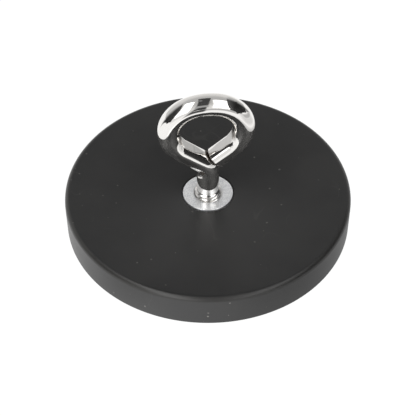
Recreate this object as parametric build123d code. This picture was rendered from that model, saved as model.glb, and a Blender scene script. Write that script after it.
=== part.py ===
from build123d import *
from math import atan2, cos, degrees, pi, radians, sin, sqrt, tan
import os

# A rubber-coated pot magnet with an eye bolt screwed into the bush at its centre.
# Millimetres, +Z up. The origin is the centre of the flat magnetic face underneath, +Z runs
# up the bolt's axis, and +X runs across the width of the eye.

# ---------------------------------------------------------------- driving dimensions

# Rubber jacket
FACE_SKIN = 1.0  # rubber between the magnets and the magnetic face
TOP_SKIN = 1.5  # rubber over the back plate
SIDE_WALL = 3.0  # rubber round the back plate, at the top of the side
SIDE_DRAFT = 0.35  # how much smaller the radius is at the magnetic face
TOP_EDGE_RADIUS = 1.0
FACE_EDGE_RADIUS = 0.4

# Back plate
PLATE_THICKNESS = 2.0
PLATE_MARGIN = 1.0  # plate left outside the outer ring of magnets
PLATE_EDGE_BREAK = 0.2

# Disc magnets, in two rings round the bush
MAGNET_DIAMETER = 10.0
MAGNET_THICKNESS = 4.0
MAGNET_EDGE_BREAK = 0.25
FOOT_GAP = 0.25  # between the bush's foot and the inner ring
RING_GAP = 2.0  # between the two rings
INNER_COUNT = 6
OUTER_COUNT = 12

# Threaded bush
BUSH_DIAMETER = 11.7
BUSH_PROUD = 0.1  # how far its face stands above the rubber
BUSH_EDGE_BREAK = 0.15
FOOT_OVERHANG = 0.9  # the shoulder under the plate that takes the pull
FOOT_EDGE_BREAK = 0.3
COUNTERSINK_DEPTH = 0.45  # 45 degrees, so it widens the bore's radius by as much

# Eye bolt: thread and shank
THREAD_DIAMETER = 5.9  # over the crests of an M6 bolt
THREAD_EXPOSED = 1.2  # thread left above the bush
THREAD_RUN_OUT = 0.35  # height of the cone from the crests to the plain shank
THREAD_LEAD_IN = 0.6
THREAD_CLEARANCE = 0.05  # between the crests and the bush's bore
END_CLEARANCE = 1.0  # from the bolt's end to the bottom of the bush
PLAIN_SHANK = 6.2  # straight wire above the thread's run-out

# Eye bolt: bent eye
WIRE_DIAMETER = 5.15
NECK_INNER_RADIUS = 0.4  # inside of the bend at the top of the shank
SHANK_LEG_ANGLE = 50.3  # the leg that rises from the neck, from vertical
FREE_LEG_ANGLE = 48.9  # the leg that comes back to the neck, from vertical
HOLE_SIDE_RADIUS = 5.0  # inside of the eye, at its two sides
HOLE_CROWN_RADIUS = 8.9  # inside of the eye, at its flatter crown
SIDE_CENTRE_OFFSET = 0.93  # each side arc's centre from the eye's middle
EYE_SHIFT = -0.38  # the eye's middle, sideways from the shank's axis
FREE_END_GAP = 0.05  # between the free end and the neck
FREE_END_ROUND = 0.2  # on the rim of the cut end

# Fit of the moulded jacket round what it holds, and of the plate round the bush
MOULD_CLEARANCE = 0.02
PLATE_HOLE_CLEARANCE = 0.05

# ---------------------------------------------------------------- places that follow

MAGNETS_BOTTOM = FACE_SKIN
PLATE_BOTTOM = MAGNETS_BOTTOM + MAGNET_THICKNESS
PLATE_TOP = PLATE_BOTTOM + PLATE_THICKNESS
JACKET_TOP = PLATE_TOP + TOP_SKIN

BUSH_RADIUS = BUSH_DIAMETER / 2
BUSH_TOP = JACKET_TOP + BUSH_PROUD
BORE_RADIUS = THREAD_DIAMETER / 2 + THREAD_CLEARANCE
FOOT_RADIUS = BUSH_RADIUS + FOOT_OVERHANG

MAGNET_RADIUS = MAGNET_DIAMETER / 2
INNER_PITCH_RADIUS = FOOT_RADIUS + FOOT_GAP + MAGNET_RADIUS
OUTER_PITCH_RADIUS = INNER_PITCH_RADIUS + MAGNET_DIAMETER + RING_GAP
PLATE_RADIUS = OUTER_PITCH_RADIUS + MAGNET_RADIUS + PLATE_MARGIN
JACKET_RADIUS = PLATE_RADIUS + SIDE_WALL

THREAD_TOP = BUSH_TOP + THREAD_EXPOSED
BOLT_BOTTOM = MAGNETS_BOTTOM + END_CLEARANCE
NECK_START = THREAD_TOP + THREAD_RUN_OUT + PLAIN_SHANK

WIRE_RADIUS = WIRE_DIAMETER / 2
NECK_RADIUS = NECK_INNER_RADIUS + WIRE_RADIUS
SIDE_RADIUS = HOLE_SIDE_RADIUS + WIRE_RADIUS
CROWN_RADIUS = HOLE_CROWN_RADIUS + WIRE_RADIUS
SHANK_LEG = radians(SHANK_LEG_ANGLE)
FREE_LEG = radians(FREE_LEG_ANGLE)


def upright(radius, low, high):
    """A cylinder on the Z axis from one height to another."""
    base = (Align.CENTER, Align.CENTER, Align.MIN)
    return Pos(0, 0, low) * Cylinder(radius, high - low, align=base)


def edges_at(solid, height):
    """The edges that lie level at a height."""
    return solid.edges().filter_by_position(Axis.Z, height - 1e-3, height + 1e-3)


def magnet_places():
    """The name and centre of every magnet, ring by ring."""
    rings = [
        ("inner", INNER_COUNT, INNER_PITCH_RADIUS),
        ("outer", OUTER_COUNT, OUTER_PITCH_RADIUS),
    ]
    places = {}
    for ring, count, pitch_radius in rings:
        for index in range(count):
            turn = 2 * pi * index / count
            centre = (pitch_radius * cos(turn), pitch_radius * sin(turn))
            places[f"{ring}_magnet_{index + 1:02d}"] = centre
    return places


def disc_magnet(centre):
    """One disc magnet under the plate, with its edges broken."""
    magnet = upright(MAGNET_RADIUS, MAGNETS_BOTTOM, PLATE_BOTTOM)
    magnet = chamfer(magnet.edges().filter_by(GeomType.CIRCLE), MAGNET_EDGE_BREAK)
    return Pos(*centre, 0) * magnet


def back_plate():
    """The steel disc behind the magnets, bored for the bush."""
    plate = upright(PLATE_RADIUS, PLATE_BOTTOM, PLATE_TOP)
    plate = chamfer(plate.edges().filter_by(GeomType.CIRCLE), PLATE_EDGE_BREAK)
    return plate - upright(BUSH_RADIUS + PLATE_HOLE_CLEARANCE, PLATE_BOTTOM, PLATE_TOP)


def threaded_bush():
    """The turned bush: a plain barrel, a wider foot under the plate and a tapped bore."""
    barrel = upright(BUSH_RADIUS, MAGNETS_BOTTOM, BUSH_TOP)
    barrel = chamfer(edges_at(barrel, BUSH_TOP), BUSH_EDGE_BREAK)
    foot = upright(FOOT_RADIUS, MAGNETS_BOTTOM, PLATE_BOTTOM)
    foot = chamfer(edges_at(foot, MAGNETS_BOTTOM), FOOT_EDGE_BREAK)
    bush = barrel + foot - upright(BORE_RADIUS, MAGNETS_BOTTOM, BUSH_TOP)
    mouth = BORE_RADIUS + COUNTERSINK_DEPTH
    sink = Cone(BORE_RADIUS, mouth, COUNTERSINK_DEPTH, align=(Align.CENTER, Align.CENTER, Align.MAX))
    return bush - Pos(0, 0, BUSH_TOP) * sink


def rubber_jacket(centres):
    """The moulded jacket: a drafted disc, hollow where the plate, magnets and bush sit."""
    base = (Align.CENTER, Align.CENTER, Align.MIN)
    jacket = Cone(JACKET_RADIUS - SIDE_DRAFT, JACKET_RADIUS, JACKET_TOP, align=base)
    jacket = fillet(edges_at(jacket, JACKET_TOP), TOP_EDGE_RADIUS)
    jacket = fillet(edges_at(jacket, 0), FACE_EDGE_RADIUS)
    hollow = upright(PLATE_RADIUS + MOULD_CLEARANCE, PLATE_BOTTOM, PLATE_TOP)
    hollow += upright(BUSH_RADIUS + MOULD_CLEARANCE, PLATE_BOTTOM, JACKET_TOP)
    hollow += upright(FOOT_RADIUS + MOULD_CLEARANCE, MAGNETS_BOTTOM, PLATE_BOTTOM)
    pocket = upright(MAGNET_RADIUS + MOULD_CLEARANCE, MAGNETS_BOTTOM, PLATE_BOTTOM)
    hollow += [Pos(*centre, 0) * pocket for centre in centres]
    return jacket - hollow


class EyePath:
    """The centre-line of the bent eye in the XZ plane, as points (x, z) and arc angles."""

    def __init__(self):
        rise = sqrt((CROWN_RADIUS - SIDE_RADIUS) ** 2 - SIDE_CENTRE_OFFSET**2)
        corner = NECK_RADIUS * tan(SHANK_LEG / 2)
        self.neck_centre = (-NECK_RADIUS, NECK_START)
        self.neck_end = (-corner * sin(SHANK_LEG), NECK_START + corner * (1 + cos(SHANK_LEG)))

        # The rising leg runs on until it touches the left side arc
        left_x = EYE_SHIFT - SIDE_CENTRE_OFFSET
        touch_x = left_x - SIDE_RADIUS * cos(SHANK_LEG)
        touch_z = NECK_START + corner - touch_x / tan(SHANK_LEG)
        self.left_touch = (touch_x, touch_z)
        self.middle = touch_z + SIDE_RADIUS * sin(SHANK_LEG)
        self.left_centre = (left_x, self.middle)
        self.right_centre = (EYE_SHIFT + SIDE_CENTRE_OFFSET, self.middle)
        self.crown_centre = (EYE_SHIFT, self.middle - rise)
        self.crown_turn = degrees(atan2(rise, SIDE_CENTRE_OFFSET))

        # The free leg leaves the right side arc and stops with its end flat on the neck's bend
        along = (sin(FREE_LEG), cos(FREE_LEG))
        self.right_touch = (
            self.right_centre[0] + SIDE_RADIUS * cos(FREE_LEG),
            self.middle - SIDE_RADIUS * sin(FREE_LEG),
        )
        reach = NECK_RADIUS + WIRE_RADIUS + FREE_END_GAP
        end_level = self.neck_centre[0] * along[0] + self.neck_centre[1] * along[1] + reach
        length = self.right_touch[0] * along[0] + self.right_touch[1] * along[1] - end_level
        self.free_end = (
            self.right_touch[0] - length * along[0],
            self.right_touch[1] - length * along[1],
        )

    def wire(self, start):
        """The whole centre-line, from a height on the shank to the free end."""
        with BuildLine(Plane.XZ) as path:
            Line((0, start), (0, NECK_START))
            CenterArc(self.neck_centre, NECK_RADIUS, 0, SHANK_LEG_ANGLE)
            Line(self.neck_end, self.left_touch)
            side_sweep = SHANK_LEG_ANGLE + self.crown_turn
            CenterArc(self.left_centre, SIDE_RADIUS, 180 + SHANK_LEG_ANGLE, -side_sweep)
            CenterArc(self.crown_centre, CROWN_RADIUS, 180 - self.crown_turn, 2 * self.crown_turn - 180)
            CenterArc(self.right_centre, SIDE_RADIUS, self.crown_turn, -self.crown_turn - FREE_LEG_ANGLE)
            Line(self.right_touch, self.free_end)
        return path.wires()[0]


def eye_bolt():
    """The eye bolt: one wire, threaded at its lower end and bent round to its own neck."""
    path = EyePath()
    start = THREAD_TOP
    section = Pos(0, 0, start) * Circle(WIRE_RADIUS)
    bolt = sweep(section, path=path.wire(start))
    flats = bolt.faces().filter_by(GeomType.PLANE)
    free_face = flats.sort_by_distance((path.free_end[0], 0, path.free_end[1]))[0]
    bolt = fillet(free_face.edges(), FREE_END_ROUND)

    thread = upright(THREAD_DIAMETER / 2, BOLT_BOTTOM, THREAD_TOP)
    thread = chamfer(edges_at(thread, BOLT_BOTTOM), THREAD_LEAD_IN)
    base = (Align.CENTER, Align.CENTER, Align.MIN)
    run_out = Cone(THREAD_DIAMETER / 2, WIRE_RADIUS, THREAD_RUN_OUT, align=base)
    return bolt + thread + Pos(0, 0, THREAD_TOP) * run_out


def save(solid, name):
    """Write one piece to its own file, named after the piece."""
    export_step(solid, os.path.join("parts", name + ".step"))


os.makedirs("parts", exist_ok=True)

magnets = magnet_places()
save(rubber_jacket(magnets.values()), "rubber_jacket")
save(back_plate(), "back_plate")
save(threaded_bush(), "threaded_bush")
save(eye_bolt(), "eye_bolt")
for magnet_name, magnet_centre in magnets.items():
    save(disc_magnet(magnet_centre), magnet_name)
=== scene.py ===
import logging
import math
from collections.abc import Callable, Iterable
from dataclasses import dataclass
from enum import Enum

import bmesh
import bpy
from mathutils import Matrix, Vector


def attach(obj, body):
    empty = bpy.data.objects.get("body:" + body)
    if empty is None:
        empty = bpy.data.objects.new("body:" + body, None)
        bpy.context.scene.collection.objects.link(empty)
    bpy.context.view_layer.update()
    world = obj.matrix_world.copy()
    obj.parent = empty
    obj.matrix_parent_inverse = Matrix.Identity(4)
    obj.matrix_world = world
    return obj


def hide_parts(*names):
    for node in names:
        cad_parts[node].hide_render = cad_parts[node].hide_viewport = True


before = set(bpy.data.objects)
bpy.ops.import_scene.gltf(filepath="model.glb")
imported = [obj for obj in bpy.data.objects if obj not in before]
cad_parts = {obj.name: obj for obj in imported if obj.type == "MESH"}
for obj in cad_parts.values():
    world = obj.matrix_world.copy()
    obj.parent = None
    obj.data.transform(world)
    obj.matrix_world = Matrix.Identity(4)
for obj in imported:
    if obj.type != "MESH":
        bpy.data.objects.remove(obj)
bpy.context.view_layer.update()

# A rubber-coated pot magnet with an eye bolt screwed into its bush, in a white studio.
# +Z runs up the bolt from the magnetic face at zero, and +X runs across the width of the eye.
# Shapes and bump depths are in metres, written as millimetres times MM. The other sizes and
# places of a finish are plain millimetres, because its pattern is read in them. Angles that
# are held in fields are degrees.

MM = 0.001
WELD = 0.001 * MM
FULL_TURN = 2 * math.pi
Colour = tuple[float, float, float, float]
Place = tuple[float, float, float]
Node = bpy.types.Node
Socket = bpy.types.NodeSocket
Sockets = dict[str, Socket]
log = logging.getLogger("pot_magnet")


class Slot(Enum):
    """The record's material slots for the new pieces; they are passed along but not used."""

    RUBBER = "jacket_rubber"
    BUSH = "zinc_steel"
    BOLT = "bright_plate"


class Pick(Enum):
    """What a selection in edit mode is made of."""

    VERTS = "VERT"
    EDGES = "EDGE"


class Turn(Enum):
    """The axis that a spin goes round, seen so that a positive angle runs anticlockwise."""

    IN_THE_ROUND = (0.0, 0.0, -1.0)
    IN_THE_SIDE = (0.0, 1.0, 0.0)


# ------------------------------------------------------------------ hand tools


def clear_selection() -> None:
    """Leaves edit mode and deselects everything, the frame's own nodes included."""
    if bpy.context.object is not None and bpy.context.object.mode != "OBJECT":
        bpy.ops.object.mode_set(mode="OBJECT")
    bpy.ops.object.select_all(action="DESELECT")


class Bench:
    """One new piece while it is shaped in edit mode, from its primitive to its finish."""

    def __init__(self, name: str) -> None:
        """Names the piece.

        Args:
            name: The name that the finished object carries.
        """
        self.name = name
        self.work: bpy.types.Object | None = None

    def start_ring(self, radius: float, height: float, sides: int) -> None:
        """Starts from an open ring of edges round the Z axis.

        Args:
            radius: The ring's radius.
            height: The ring's height.
            sides: How many edges it has.
        """
        clear_selection()
        bpy.ops.mesh.primitive_circle_add(vertices=sides, radius=radius, location=(0, 0, height))
        self._take_up()

    def start_point(self, across: float, height: float) -> None:
        """Starts from a single point in the XZ plane, for a profile.

        Args:
            across: The point's distance from the Z axis.
            height: The point's height.
        """
        clear_selection()
        bpy.ops.mesh.primitive_plane_add(size=MM, location=(across, 0, height))
        self._take_up()
        bpy.ops.mesh.merge(type="CENTER")

    def start_grid(self, cells: int) -> None:
        """Starts from a flat square grid that runs from -1 to 1 both ways.

        Args:
            cells: How many faces it has along a side.
        """
        clear_selection()
        bpy.ops.mesh.primitive_grid_add(x_subdivisions=cells, y_subdivisions=cells, size=2.0)
        self._take_up()

    def start_cylinder(self, radius: float, low: float, high: float, sides: int) -> None:
        """Starts from a closed cylinder on the Z axis.

        Args:
            radius: Its radius.
            low: The height of its bottom.
            high: The height of its top.
            sides: How many faces it has round it.
        """
        clear_selection()
        bpy.ops.mesh.primitive_cylinder_add(
            vertices=sides, radius=radius, depth=high - low, location=(0, 0, (low + high) / 2)
        )
        self._take_up()

    def _take_up(self) -> None:
        """Names the primitive, puts its place into its mesh and opens it for editing."""
        self.work = bpy.context.object
        self.work.name = self.name
        self.work.data.name = self.name
        bpy.ops.object.transform_apply(location=True, rotation=True, scale=True)
        bpy.ops.object.mode_set(mode="EDIT")
        bpy.ops.mesh.select_all(action="SELECT")

    def pull(self, move: Vector) -> None:
        """Extrudes the selected ring of edges.

        Args:
            move: How far the new ring goes.
        """
        bpy.ops.mesh.extrude_region_move(TRANSFORM_OT_translate={"value": tuple(move)})

    def draw(self, across: float, up: float) -> None:
        """Extrudes the selected point into the next straight line of a profile.

        Args:
            across: How far the line goes from the Z axis.
            up: How far it rises.
        """
        bpy.ops.mesh.extrude_vertices_move(TRANSFORM_OT_translate={"value": (across, 0, up)})

    def draw_through(self, points: Iterable[tuple[float, float]]) -> None:
        """Draws straight profile lines from the selected point through others.

        Args:
            points: Distance from the Z axis and height of each next point.
        """
        at = self.tip()
        for across, height in points:
            self.draw(across - at.x, height - at.z)
            at = Vector((across, 0, height))

    def sweep(self, centre: Vector, turn: Turn, angle: float, steps: int) -> None:
        """Spins what is selected round a centre, which also draws an arc from a point.

        Args:
            centre: The centre of the arc.
            turn: The axis that it goes round.
            angle: The angle in radians, anticlockwise if positive.
            steps: How many steps the arc has.
        """
        bpy.ops.mesh.spin(steps=steps, angle=angle, center=tuple(centre), axis=turn.value)

    def revolve(self, steps: int) -> None:
        """Turns the whole profile once round the Z axis and closes the seam.

        Args:
            steps: How many steps the turn has.
        """
        bpy.ops.mesh.select_all(action="SELECT")
        self.sweep(Vector(), Turn.IN_THE_ROUND, FULL_TURN, steps)
        self.close_skin()

    def close_skin(self) -> None:
        """Merges doubled points and turns every face outwards."""
        bpy.ops.mesh.select_all(action="SELECT")
        bpy.ops.mesh.remove_doubles(threshold=WELD)
        bpy.ops.mesh.normals_make_consistent(inside=False)

    def tip(self) -> Vector:
        """Finds where the drawing has got to.

        Returns:
            The middle of what is selected.
        """
        verts = bmesh.from_edit_mesh(self.work.data).verts
        chosen = [vertex.co for vertex in verts if vertex.select]
        return sum(chosen, Vector()) / len(chosen)

    def choose(self, pick: Pick, test: Callable[[Vector, Vector], bool]) -> None:
        """Selects the vertices or edges that pass a test.

        Args:
            pick: What is selected.
            test: Takes a vertex's place and normal, or an edge's middle and direction.
        """
        bpy.ops.mesh.select_mode(type=pick.value)
        bpy.ops.mesh.select_all(action="DESELECT")
        mesh = bmesh.from_edit_mesh(self.work.data)
        if pick is Pick.VERTS:
            found = [(vertex, vertex.co, vertex.normal) for vertex in mesh.verts]
        else:
            found = [(edge, *self._along(edge)) for edge in mesh.edges]
        for element, middle, direction in found:
            if test(middle, direction):
                element.select_set(True)
        mesh.select_flush_mode()
        bmesh.update_edit_mesh(self.work.data)

    @staticmethod
    def _along(edge: bmesh.types.BMEdge) -> tuple[Vector, Vector]:
        """An edge's middle and its direction."""
        start, end = (vertex.co for vertex in edge.verts)
        return (start + end) / 2, (end - start).normalized()

    def leave(self) -> bpy.types.Object:
        """Goes back to object mode.

        Returns:
            The piece.
        """
        bpy.ops.object.mode_set(mode="OBJECT")
        return self.work

    def apply(self, kind: str, **settings: object) -> None:
        """Adds a modifier in object mode and applies it.

        Args:
            kind: Blender's name for the modifier.
            settings: Its settings by name.
        """
        bpy.ops.object.modifier_add(type=kind)
        modifier = self.work.modifiers[-1]
        for key, value in settings.items():
            setattr(modifier, key, value)
        bpy.ops.object.modifier_apply(modifier=modifier.name)

    def smooth(self, degrees: float) -> None:
        """Shades the piece smooth, except over sharp edges.

        Args:
            degrees: The angle past which an edge stays sharp.
        """
        bpy.ops.object.shade_smooth_by_angle(angle=math.radians(degrees))


def ease(share: float) -> float:
    """A smooth step from 0 to 1 that holds at both ends."""
    held = min(1.0, max(0.0, share))
    return held * held * (3 - 2 * held)


def mount(piece: bpy.types.Object, slot: Slot, *nodes: str) -> None:
    """Fixes a new piece to the frame in place of its CAD nodes.

    Args:
        piece: The finished piece.
        slot: Not used; the record's material slot for it.
        nodes: The CAD nodes that it stands for.
    """
    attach(piece, "root")
    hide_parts(*nodes)
    mesh = piece.data
    log.info("%s: %d vertices, %d faces", piece.name, len(mesh.vertices), len(mesh.polygons))


# ------------------------------------------------------------------ node recipes

# Where the Mix node keeps its share and its two colours, and the colour that it gives.
MIX_INPUTS = (0, 6, 7)
MIX_OUTPUT = 2


@dataclass(frozen=True)
class Ramp:
    """A smooth change from one result to another over a range, held at both ends."""

    low: float
    high: float
    start: float = 0.0
    end: float = 1.0


class Recipe:
    """A node tree while it is written, with short ways to add and join nodes."""

    def __init__(self, tree: bpy.types.NodeTree) -> None:
        """Takes up a tree.

        Args:
            tree: The material's, world's or group's node tree.
        """
        self.tree = tree

    def add(self, kind: str, **settings: object) -> Node:
        """Adds a node.

        Args:
            kind: Blender's name for the node.
            settings: Its properties by name.

        Returns:
            The node.
        """
        node = self.tree.nodes.new(kind)
        for key, value in settings.items():
            setattr(node, key, value)
        return node

    def feed(self, socket: Socket, source: object) -> None:
        """Joins a source to a socket, or sets the socket's own value.

        Args:
            socket: The input.
            source: An output socket or a plain value.
        """
        if isinstance(source, Socket):
            self.tree.links.new(source, socket)
        else:
            socket.default_value = source

    def by_name(self, node: Node, values: dict[str, object]) -> Node:
        """Feeds a node's inputs by name.

        Args:
            node: The node.
            values: What goes into each input, as sockets or plain values.

        Returns:
            The same node.
        """
        for name, value in values.items():
            self.feed(node.inputs[name], value)
        return node

    def in_order(self, node: Node, values: Iterable[object]) -> Node:
        """Feeds a node's inputs from the first one on.

        Args:
            node: The node.
            values: What goes in, as sockets or plain values.

        Returns:
            The same node.
        """
        for socket, value in zip(node.inputs, values):
            self.feed(socket, value)
        return node

    def maths(self, operation: str, *values: object) -> Socket:
        """Adds a Math node.

        Args:
            operation: Blender's name for the sum.
            values: What goes in, as sockets or numbers.

        Returns:
            Its result.
        """
        return self.in_order(self.add("ShaderNodeMath", operation=operation), values).outputs[0]

    def product(self, first: object, *others: object) -> Socket:
        """Multiplies values by one another.

        Args:
            first: A socket or a number.
            others: What it is multiplied by, in turn.

        Returns:
            The product.
        """
        for other in others:
            first = self.maths("MULTIPLY", first, other)
        return first

    def vector(self, operation: str, *values: object) -> Socket:
        """Adds a Vector Math node whose result is a vector.

        Args:
            operation: Blender's name for the sum.
            values: What goes in, as sockets or vectors.

        Returns:
            The vector.
        """
        node = self.add("ShaderNodeVectorMath", operation=operation)
        return self.in_order(node, values).outputs["Vector"]

    def measure(self, operation: str, *values: object) -> Socket:
        """Adds a Vector Math node whose result is a number.

        Args:
            operation: Blender's name for the sum.
            values: What goes in, as sockets or vectors.

        Returns:
            The number.
        """
        node = self.add("ShaderNodeVectorMath", operation=operation)
        return self.in_order(node, values).outputs["Value"]

    def scaled(self, vector: Socket, factor: object) -> Socket:
        """A vector multiplied by a number."""
        node = self.add("ShaderNodeVectorMath", operation="SCALE")
        return self.by_name(node, {"Vector": vector, "Scale": factor}).outputs["Vector"]

    def split(self, vector: Socket) -> tuple[Socket, ...]:
        """The X, Y and Z of a vector."""
        return tuple(self.in_order(self.add("ShaderNodeSeparateXYZ"), [vector]).outputs)

    def join(self, *parts: object) -> Socket:
        """The vector with a given X, Y and Z."""
        return self.in_order(self.add("ShaderNodeCombineXYZ"), parts).outputs[0]

    def between(self, value: object, low: float, high: float, start: object, end: object) -> Socket:
        """Maps a range smoothly onto another and holds it at both ends.

        Args:
            value: What is mapped.
            low: Where the range starts.
            high: Where it ends.
            start: The result at the low end.
            end: The result at the high end.

        Returns:
            The mapped value.
        """
        node = self.add("ShaderNodeMapRange", interpolation_type="SMOOTHSTEP")
        return self.in_order(node, (value, low, high, start, end)).outputs[0]

    def ramp(self, value: object, ramp: Ramp) -> Socket:
        """Maps a value over a ramp."""
        return self.between(value, ramp.low, ramp.high, ramp.start, ramp.end)

    def blend(self, share: object, first: object, second: object) -> Socket:
        """Mixes two colours.

        Args:
            share: How much of the second colour there is.
            first: The colour at no share.
            second: The colour at full share.

        Returns:
            The mixed colour.
        """
        node = self.add("ShaderNodeMix", data_type="RGBA")
        for index, source in zip(MIX_INPUTS, (share, first, second)):
            self.feed(node.inputs[index], source)
        return node.outputs[MIX_OUTPUT]

    def per(self, size: object) -> object:
        """One over a size, as a number or a socket: the scale of a texture."""
        return self.maths("DIVIDE", 1.0, size) if isinstance(size, Socket) else 1 / size

    def noise(
        self, place: object, size: object, detail: float = 2.0, rough: float = 0.5, coloured: bool = False
    ) -> Socket:
        """Adds a noise texture.

        Args:
            place: Where it is read, in millimetres.
            size: The size of its lumps, in millimetres.
            detail: How many finer layers it has.
            rough: How strong the finer layers are.
            coloured: Whether three numbers are wanted, as a colour, and not one.

        Returns:
            Its value, from 0 to 1.
        """
        values = {"Vector": place, "Scale": self.per(size), "Detail": detail, "Roughness": rough}
        return self.by_name(self.add("ShaderNodeTexNoise"), values).outputs[int(coloured)]

    def cells(self, place: object, size: object, feature: str) -> Node:
        """Adds a cell texture.

        Args:
            place: Where it is read, in millimetres.
            size: The width of a cell, in millimetres.
            feature: Blender's name for what is measured in a cell.

        Returns:
            The node, for its distance and its colour.
        """
        node = self.add("ShaderNodeTexVoronoi", feature=feature)
        return self.by_name(node, {"Vector": place, "Scale": self.per(size)})

    def millimetres(self) -> Socket:
        """The place on the piece, in millimetres."""
        return self.scaled(self.add("ShaderNodeTexCoord").outputs["Object"], 1 / MM)


def empty_material(name: str) -> tuple[bpy.types.Material, Recipe]:
    """Makes a material with no nodes in it yet.

    Args:
        name: The material's name.

    Returns:
        The material, and its tree ready to be written.
    """
    made = bpy.data.materials.new(name)
    made.use_nodes = True
    made.node_tree.nodes.clear()
    return made, Recipe(made.node_tree)


class Effect:
    """A shader node group that any finish can place. An input with no default is a vector."""

    name: str
    inputs: dict[str, float | None]
    outputs: tuple[str, ...]
    _built: dict[str, bpy.types.NodeTree] = {}

    def write(self, recipe: Recipe, taken: Sockets) -> tuple[Socket, ...]:
        """Writes the nodes inside the group.

        Args:
            recipe: The group's tree.
            taken: The group's inputs by name.

        Returns:
            What feeds each output, in order.
        """
        raise NotImplementedError

    def tree(self) -> bpy.types.NodeTree:
        """The group's tree, built once."""
        if self.name not in Effect._built:
            tree = bpy.data.node_groups.new(self.name, "ShaderNodeTree")
            for name, default in self.inputs.items():
                kind = "NodeSocketVector" if default is None else "NodeSocketFloat"
                socket = tree.interface.new_socket(name, in_out="INPUT", socket_type=kind)
                if default is not None:
                    socket.default_value = default
            for name in self.outputs:
                tree.interface.new_socket(name, in_out="OUTPUT", socket_type="NodeSocketFloat")
            recipe = Recipe(tree)
            taken = recipe.add("NodeGroupInput").outputs
            results = self.write(recipe, {name: taken[name] for name in self.inputs})
            recipe.in_order(recipe.add("NodeGroupOutput"), results)
            Effect._built[self.name] = tree
        return Effect._built[self.name]

    def place(self, recipe: Recipe, **values: object) -> Sockets:
        """Places the group in a material.

        Args:
            recipe: The material's tree.
            values: What feeds each input, by its name in small letters.

        Returns:
            The group's outputs by name.
        """
        node = recipe.add("ShaderNodeGroup", node_tree=self.tree())
        recipe.by_name(node, {name.capitalize(): value for name, value in values.items()})
        return {name: node.outputs[name] for name in self.outputs}


class FineGrain(Effect):
    """The close grain of a moulded or plated skin."""

    name = "fine_grain"
    inputs = {"Position": None, "Size": 0.3}
    outputs = ("Height",)
    detail = 3.0
    pit_weight = 0.45

    def write(self, recipe: Recipe, taken: Sockets) -> tuple[Socket, ...]:
        """Adds small pits to a fine noise.

        Args:
            recipe: The group's tree.
            taken: The group's inputs by name.

        Returns:
            The height.
        """
        grain = recipe.noise(taken["Position"], taken["Size"], self.detail)
        pits = recipe.cells(taken["Position"], taken["Size"], "SMOOTH_F1").outputs["Distance"]
        return (recipe.maths("MULTIPLY_ADD", pits, self.pit_weight, grain),)


class DustSpecks(Effect):
    """Scattered specks of dust and lint, few and small."""

    name = "dust_specks"
    inputs = {"Position": None, "Spacing": 9.0, "Size": 0.3, "Share": 0.5}
    outputs = ("Mask",)
    ragged_size = 0.25
    noise_middle = (0.5, 0.5, 0.5)
    smallest = 0.35
    size_spread = 0.8
    faintest = 0.3
    strength_spread = 0.7
    edge_steepness = 3.0

    def write(self, recipe: Recipe, taken: Sockets) -> tuple[Socket, ...]:
        """Puts a speck in some of the cells of a wide cell pattern, each a little ragged.

        Args:
            recipe: The group's tree.
            taken: The group's inputs by name.

        Returns:
            The mask, which is 1 on a full speck.
        """
        place, spacing, size = taken["Position"], taken["Spacing"], taken["Size"]
        stray = recipe.noise(place, self.ragged_size, coloured=True)
        stray = recipe.scaled(recipe.vector("SUBTRACT", stray, self.noise_middle), size)
        cells = recipe.cells(recipe.vector("ADD", place, stray), spacing, "F1")
        away = recipe.product(cells.outputs["Distance"], spacing)
        chance = recipe.in_order(recipe.add("ShaderNodeSeparateColor"), [cells.outputs["Color"]]).outputs
        there = recipe.maths("LESS_THAN", chance[0], taken["Share"])
        width = recipe.maths("MULTIPLY_ADD", chance[1], self.size_spread, self.smallest)
        strength = recipe.maths("MULTIPLY_ADD", chance[2], self.strength_spread, self.faintest)
        inside = recipe.maths("SUBTRACT", 1.0, recipe.maths("DIVIDE", away, recipe.product(size, width)))
        steep = recipe.maths("MAXIMUM", 0.0, recipe.product(inside, self.edge_steepness))
        return (recipe.product(recipe.maths("MINIMUM", 1.0, steep), strength, there),)


class HandlingMarks(Effect):
    """Faint rubbed strokes that come and go over a surface."""

    name = "handling_marks"
    inputs = {"Position": None, "Length": 8.0, "Width": 0.05}
    outputs = ("Mask",)
    detail = 1.0
    contour = 0.5
    patches_aside = (31.0, 17.0, 5.0)
    stretches = Ramp(0.56, 0.66)

    def write(self, recipe: Recipe, taken: Sockets) -> tuple[Socket, ...]:
        """Takes thin contour lines of a slow noise, and shows only stretches of them.

        Args:
            recipe: The group's tree.
            taken: The group's inputs by name.

        Returns:
            The mask, which is 1 in the middle of a stroke.
        """
        place, length = taken["Position"], taken["Length"]
        lines = recipe.noise(place, length, self.detail)
        patches = recipe.noise(recipe.vector("ADD", place, self.patches_aside), length, self.detail)
        off = recipe.maths("ABSOLUTE", recipe.maths("SUBTRACT", lines, self.contour))
        beside = recipe.maths("DIVIDE", off, taken["Width"])
        stroke = recipe.maths("MAXIMUM", 0.0, recipe.maths("SUBTRACT", 1.0, beside))
        return (recipe.product(stroke, recipe.ramp(patches, self.stretches)),)


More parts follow.
